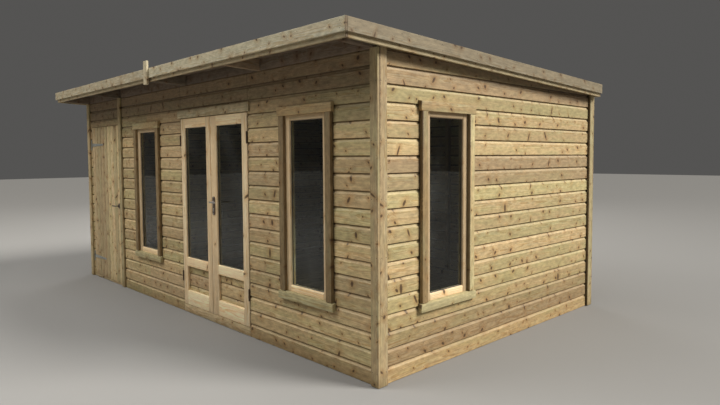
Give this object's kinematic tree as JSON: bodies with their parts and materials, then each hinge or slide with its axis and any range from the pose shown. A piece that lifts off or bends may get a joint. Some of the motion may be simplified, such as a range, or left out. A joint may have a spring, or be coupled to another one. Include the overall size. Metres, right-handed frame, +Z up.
{
  "type": "summer house with shed",
  "caption": "Timber summer house with glazed double doors and tall windows, and a shed with its own boarded door at one end, under a pent roof that falls to the back.",
  "frame": {"origin": "bottom centre of the whole building's box, roof overhangs included, on the ground under the bearers", "axes": "+X along the front to the right as seen from outside the front, +Y from the front to the back, +Z up"},
  "size_m": [5.56, 3.53, 2.4626],
  "materials": {
    "cladding_timber": "planed softwood boards, pressure treated",
    "trim_timber": "planed softwood, pressure treated",
    "joinery_timber": "planed untreated pine",
    "framing_timber": "sawn softwood",
    "floor_timber": "planed softwood boards",
    "roof_timber": "sawn softwood boards",
    "felt": "mineral roofing felt, rough",
    "glass": "clear",
    "hinge_metal": "dull plated steel",
    "strap_metal": "galvanised steel, dull",
    "handle_metal": "satin nickel plate"
  },
  "bodies": {
    "house": {"floor_bearers": "framing_timber", "shed_floor": "floor_timber", "summer_house_floor": "floor_timber", "long_wall_studs": "framing_timber", "side_wall_studs": "framing_timber", "partition_studs": "framing_timber", "long_wall_plates": "framing_timber", "cross_wall_plates": "framing_timber", "opening_trimmers": "framing_timber", "front_cladding_left": "cladding_timber", "front_cladding_right": "cladding_timber", "cladding_over_doors": "cladding_timber", "front_cladding_shed_edge": "cladding_timber", "right_cladding": "cladding_timber", "left_cladding": "cladding_timber", "back_cladding": "cladding_timber", "partition_boards": "cladding_timber", "eaves_boards": "trim_timber", "rafters": "framing_timber", "roof_boards_left": "roof_timber", "roof_boards_right": "roof_timber", "roof_felt": "felt", "verge_battens": "framing_timber", "front_fascia_left": "trim_timber", "front_fascia_right": "trim_timber", "front_drip_board": "trim_timber", "side_fascias": "trim_timber", "side_drip_boards": "trim_timber", "back_fascia": "trim_timber", "fascia_joint_strip": "trim_timber", "front_corner_boards": "trim_timber", "back_corner_boards": "trim_timber", "side_corner_boards": "trim_timber", "divider_strip": "trim_timber", "front_left_window_surround": "trim_timber", "front_right_window_surround": "trim_timber", "side_window_surround": "trim_timber", "window_sashes": "joinery_timber", "window_glass": "glass", "door_frame_hinges": "hinge_metal", "door_head_board": "trim_timber", "door_thresholds": "trim_timber", "door_stops": "framing_timber", "shed_hinge_plates": "strap_metal"},
    "left_leaf": {"left_door_leaf": "joinery_timber", "left_door_glass": "glass", "left_door_panel": "cladding_timber", "left_door_hinges": "hinge_metal"},
    "right_leaf": {"right_door_leaf": "joinery_timber", "right_door_glass": "glass", "right_door_panel": "cladding_timber", "right_door_hinges": "hinge_metal", "door_handle_plate": "handle_metal"},
    "door_handle": {"door_lever": "handle_metal"},
    "shed_leaf": {"shed_door_boards": "trim_timber", "shed_door_bracing": "framing_timber", "shed_door_straps": "strap_metal", "shed_handle_plate": "handle_metal"},
    "shed_handle": {"shed_lever": "handle_metal"}
  },
  "joints": [
    {"name": "left_leaf_hinge", "type": "hinge", "parent": "house", "child": "left_leaf", "pos_m": [-0.083, -1.3835, 1.0455], "axis": [0, 0, -1], "range_deg": [0, 110]},
    {"name": "right_leaf_hinge", "type": "hinge", "parent": "house", "child": "right_leaf", "pos_m": [1.123, -1.3835, 1.0455], "axis": [0, 0, 1], "range_deg": [0, 110]},
    {"name": "door_handle_turn", "type": "hinge", "parent": "right_leaf", "child": "door_handle", "pos_m": [0.548, -1.3853, 1.143], "axis": [0, 1, 0], "range_deg": [0, 40], "stiffness_Nm_per_rad": 1.5, "springref_deg": -20.05},
    {"name": "shed_door_hinge", "type": "hinge", "parent": "house", "child": "shed_leaf", "pos_m": [-2.581, -1.3835, 0.9975], "axis": [0, 0, -1], "range_deg": [0, 110]},
    {"name": "shed_handle_turn", "type": "hinge", "parent": "shed_leaf", "child": "shed_handle", "pos_m": [-1.712, -1.3853, 0.976], "axis": [0, -1, 0], "range_deg": [0, 40], "stiffness_Nm_per_rad": 1.5, "springref_deg": -20.05}
  ]
}
